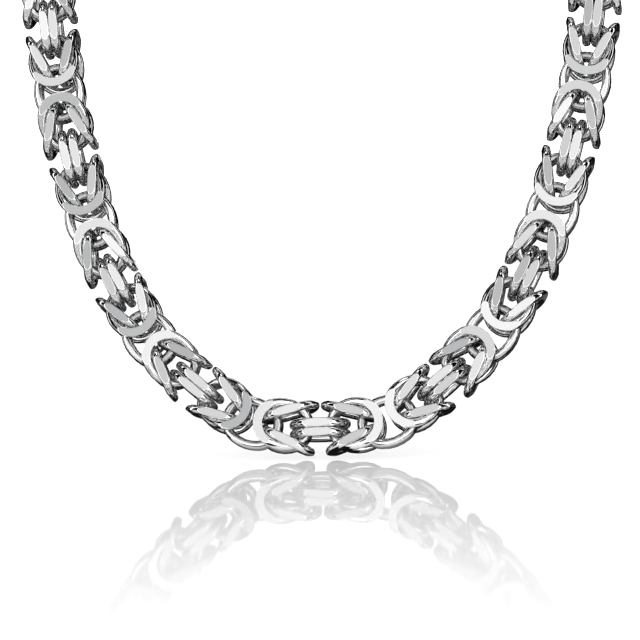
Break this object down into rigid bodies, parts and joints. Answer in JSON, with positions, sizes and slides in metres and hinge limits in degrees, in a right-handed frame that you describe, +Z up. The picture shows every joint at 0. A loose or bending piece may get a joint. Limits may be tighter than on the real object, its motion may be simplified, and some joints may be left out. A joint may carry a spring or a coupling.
{
  "type": "byzantine neck chain",
  "caption": "Heavy byzantine neck chain of polished silver, filed flat front and back, a closed loop hanging as worn, with a plain clasp at the nape",
  "frame": {"origin": "centre of the clasp's lower face, where the chain rests on the nape", "axes": "+Z up, the front of the chain faces -Y, +X toward the wearer's left, which is the right of the picture"},
  "size_m": [0.135, 0.0598, 0.191],
  "materials": {
    "silver": "polished silver, filed flats",
    "clasp_silver": "polished silver"
  },
  "bodies": {
    "root": {"chain_right": "silver", "chain_left": "silver", "clasp": "clasp_silver"}
  },
  "joints": []
}
